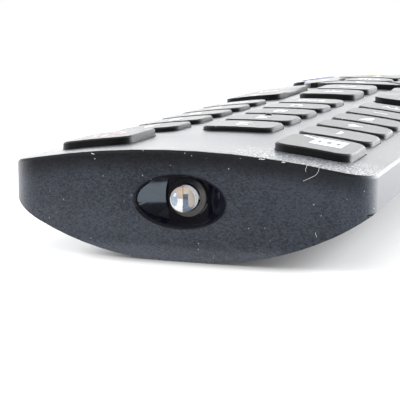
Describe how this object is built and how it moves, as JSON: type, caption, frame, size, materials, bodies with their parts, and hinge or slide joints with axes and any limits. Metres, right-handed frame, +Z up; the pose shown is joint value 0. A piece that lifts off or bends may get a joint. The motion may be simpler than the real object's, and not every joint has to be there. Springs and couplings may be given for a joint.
{
  "type": "remote control",
  "caption": "Long handheld remote control with a crowned key face, a rounded belly, an oval infrared window at one end and a sliding battery cover.",
  "frame": {"origin": "middle of the length and width, on the surface that the belly rests on", "axes": "+Y from the infrared end to the tail, +X across the body to the right as seen with the keys up and the infrared end near, +Z up"},
  "size_m": [0.047, 0.2054, 0.0148],
  "materials": {
    "shell_plastic": "fine spark-eroded grain, matt",
    "key_rubber": "satin moulded rubber",
    "red_key": "satin moulded rubber",
    "green_key": "satin moulded rubber",
    "yellow_key": "satin moulded rubber",
    "blue_key": "satin moulded rubber",
    "window_plastic": "polished black",
    "lamp_clear": "clear resin",
    "mat_rubber": "moulded rubber",
    "board_laminate": "lacquered laminate",
    "chip_plastic": "moulded package",
    "can_sleeve": "shrunk sleeve",
    "resonator_body": "dipped ceramic",
    "cell_wrap": "plain foil wrap",
    "spring_wire": "nickel-plated wire",
    "contact_plate": "nickel-plated sheet",
    "screw_steel": "blackened steel"
  },
  "bodies": {
    "housing": {"case_screws": "screw_steel", "ceramic_resonator": "resonator_body", "circuit_board": "board_laminate", "controller_chip": "chip_plastic", "front_spring": "spring_wire", "infrared_lamp": "lamp_clear", "keypad_mat": "mat_rubber", "lamp_leads": "contact_plate", "left_cell": "cell_wrap", "lower_shell": "shell_plastic", "negative_contact": "contact_plate", "positive_contact": "contact_plate", "right_cell": "cell_wrap", "storage_capacitor": "can_sleeve", "tail_contact": "contact_plate", "tail_spring": "spring_wire", "upper_shell": "shell_plastic", "window_surround": "window_plastic"},
    "key_aux_body": {"key_aux": "key_rubber"},
    "key_back_body": {"key_back": "key_rubber"},
    "key_blue_body": {"key_blue": "blue_key"},
    "key_box_body": {"key_box": "key_rubber"},
    "key_dash_body": {"key_dash": "key_rubber"},
    "key_down_body": {"key_down": "key_rubber"},
    "key_eight_body": {"key_eight": "key_rubber"},
    "key_enter_body": {"key_enter": "key_rubber"},
    "key_five_body": {"key_five": "key_rubber"},
    "key_four_body": {"key_four": "key_rubber"},
    "key_green_body": {"key_green": "green_key"},
    "key_guide_body": {"key_guide": "key_rubber"},
    "key_info_body": {"key_info": "key_rubber"},
    "key_input_body": {"key_input": "key_rubber"},
    "key_last_body": {"key_last": "key_rubber"},
    "key_left_body": {"key_left": "key_rubber"},
    "key_menu_body": {"key_menu": "key_rubber"},
    "key_mute_body": {"key_mute": "key_rubber"},
    "key_nine_body": {"key_nine": "key_rubber"},
    "key_ok_body": {"key_ok": "key_rubber"},
    "key_one_body": {"key_one": "key_rubber"},
    "key_power_body": {"key_power": "key_rubber"},
    "key_red_body": {"key_red": "red_key"},
    "key_right_body": {"key_right": "key_rubber"},
    "key_seven_body": {"key_seven": "key_rubber"},
    "key_six_body": {"key_six": "key_rubber"},
    "key_three_body": {"key_three": "key_rubber"},
    "key_tv_body": {"key_tv": "key_rubber"},
    "key_two_body": {"key_two": "key_rubber"},
    "key_up_body": {"key_up": "key_rubber"},
    "key_yellow_body": {"key_yellow": "yellow_key"},
    "key_zero_body": {"key_zero": "key_rubber"},
    "volume_rocker_body": {"volume_rocker": "key_rubber"},
    "channel_rocker_body": {"channel_rocker": "key_rubber"},
    "battery_cover_body": {"battery_cover": "shell_plastic"}
  },
  "joints": [
    {"name": "battery_cover_slide", "type": "slide", "parent": "housing", "child": "battery_cover_body", "axis": [0, 1, 0], "range_m": [0, 0.062]},
    {"name": "volume_rocker_tilt", "type": "hinge", "parent": "housing", "child": "volume_rocker_body", "pos_m": [0.01385, -0.0125, 0.00978], "axis": [1, 0, 0], "range_deg": [-2.5, 2.5], "stiffness_Nm_per_rad": 0.3},
    {"name": "channel_rocker_tilt", "type": "hinge", "parent": "housing", "child": "channel_rocker_body", "pos_m": [-0.01385, -0.0125, 0.00978], "axis": [1, 0, 0], "range_deg": [-2.5, 2.5], "stiffness_Nm_per_rad": 0.3},
    {"name": "key_power_press", "type": "slide", "parent": "housing", "child": "key_power_body", "axis": [0, 0, -1], "range_m": [0, 0.0006], "stiffness_N_per_m": 1800},
    {"name": "key_input_press", "type": "slide", "parent": "housing", "child": "key_input_body", "axis": [0, 0, -1], "range_m": [0, 0.0006], "stiffness_N_per_m": 1800},
    {"name": "key_ok_press", "type": "slide", "parent": "housing", "child": "key_ok_body", "axis": [0, 0, -1], "range_m": [0, 0.0006], "stiffness_N_per_m": 1800},
    {"name": "key_up_press", "type": "slide", "parent": "housing", "child": "key_up_body", "axis": [0, 0, -1], "range_m": [0, 0.0006], "stiffness_N_per_m": 1800},
    {"name": "key_down_press", "type": "slide", "parent": "housing", "child": "key_down_body", "axis": [0, 0, -1], "range_m": [0, 0.0006], "stiffness_N_per_m": 1800},
    {"name": "key_left_press", "type": "slide", "parent": "housing", "child": "key_left_body", "axis": [0, 0, -1], "range_m": [0, 0.0006], "stiffness_N_per_m": 1800},
    {"name": "key_right_press", "type": "slide", "parent": "housing", "child": "key_right_body", "axis": [0, 0, -1], "range_m": [0, 0.0006], "stiffness_N_per_m": 1800},
    {"name": "key_mute_press", "type": "slide", "parent": "housing", "child": "key_mute_body", "axis": [0, 0, -1], "range_m": [0, 0.0006], "stiffness_N_per_m": 1800},
    {"name": "key_last_press", "type": "slide", "parent": "housing", "child": "key_last_body", "axis": [0, 0, -1], "range_m": [0, 0.0006], "stiffness_N_per_m": 1800},
    {"name": "key_one_press", "type": "slide", "parent": "housing", "child": "key_one_body", "axis": [0, 0, -1], "range_m": [0, 0.0006], "stiffness_N_per_m": 1800},
    {"name": "key_five_press", "type": "slide", "parent": "housing", "child": "key_five_body", "axis": [0, 0, -1], "range_m": [0, 0.0006], "stiffness_N_per_m": 1800},
    {"name": "key_nine_press", "type": "slide", "parent": "housing", "child": "key_nine_body", "axis": [0, 0, -1], "range_m": [0, 0.0006], "stiffness_N_per_m": 1800},
    {"name": "key_zero_press", "type": "slide", "parent": "housing", "child": "key_zero_body", "axis": [0, 0, -1], "range_m": [0, 0.0006], "stiffness_N_per_m": 1800},
    {"name": "key_red_press", "type": "slide", "parent": "housing", "child": "key_red_body", "axis": [0, 0, -1], "range_m": [0, 0.0006], "stiffness_N_per_m": 1800},
    {"name": "key_menu_press", "type": "slide", "parent": "housing", "child": "key_menu_body", "axis": [0, 0, -1], "range_m": [0, 0.0006], "stiffness_N_per_m": 1800},
    {"name": "key_aux_press", "type": "slide", "parent": "housing", "child": "key_aux_body", "axis": [0, 0, -1], "range_m": [0, 0.0006], "stiffness_N_per_m": 1800},
    {"name": "key_back_press", "type": "slide", "parent": "housing", "child": "key_back_body", "axis": [0, 0, -1], "range_m": [0, 0.0006], "stiffness_N_per_m": 1800},
    {"name": "key_blue_press", "type": "slide", "parent": "housing", "child": "key_blue_body", "axis": [0, 0, -1], "range_m": [0, 0.0006], "stiffness_N_per_m": 1800},
    {"name": "key_box_press", "type": "slide", "parent": "housing", "child": "key_box_body", "axis": [0, 0, -1], "range_m": [0, 0.0006], "stiffness_N_per_m": 1800},
    {"name": "key_dash_press", "type": "slide", "parent": "housing", "child": "key_dash_body", "axis": [0, 0, -1], "range_m": [0, 0.0006], "stiffness_N_per_m": 1800},
    {"name": "key_eight_press", "type": "slide", "parent": "housing", "child": "key_eight_body", "axis": [0, 0, -1], "range_m": [0, 0.0006], "stiffness_N_per_m": 1800},
    {"name": "key_enter_press", "type": "slide", "parent": "housing", "child": "key_enter_body", "axis": [0, 0, -1], "range_m": [0, 0.0006], "stiffness_N_per_m": 1800},
    {"name": "key_four_press", "type": "slide", "parent": "housing", "child": "key_four_body", "axis": [0, 0, -1], "range_m": [0, 0.0006], "stiffness_N_per_m": 1800},
    {"name": "key_green_press", "type": "slide", "parent": "housing", "child": "key_green_body", "axis": [0, 0, -1], "range_m": [0, 0.0006], "stiffness_N_per_m": 1800},
    {"name": "key_guide_press", "type": "slide", "parent": "housing", "child": "key_guide_body", "axis": [0, 0, -1], "range_m": [0, 0.0006], "stiffness_N_per_m": 1800},
    {"name": "key_info_press", "type": "slide", "parent": "housing", "child": "key_info_body", "axis": [0, 0, -1], "range_m": [0, 0.0006], "stiffness_N_per_m": 1800},
    {"name": "key_seven_press", "type": "slide", "parent": "housing", "child": "key_seven_body", "axis": [0, 0, -1], "range_m": [0, 0.0006], "stiffness_N_per_m": 1800},
    {"name": "key_six_press", "type": "slide", "parent": "housing", "child": "key_six_body", "axis": [0, 0, -1], "range_m": [0, 0.0006], "stiffness_N_per_m": 1800},
    {"name": "key_three_press", "type": "slide", "parent": "housing", "child": "key_three_body", "axis": [0, 0, -1], "range_m": [0, 0.0006], "stiffness_N_per_m": 1800},
    {"name": "key_tv_press", "type": "slide", "parent": "housing", "child": "key_tv_body", "axis": [0, 0, -1], "range_m": [0, 0.0006], "stiffness_N_per_m": 1800},
    {"name": "key_two_press", "type": "slide", "parent": "housing", "child": "key_two_body", "axis": [0, 0, -1], "range_m": [0, 0.0006], "stiffness_N_per_m": 1800},
    {"name": "key_yellow_press", "type": "slide", "parent": "housing", "child": "key_yellow_body", "axis": [0, 0, -1], "range_m": [0, 0.0006], "stiffness_N_per_m": 1800}
  ]
}
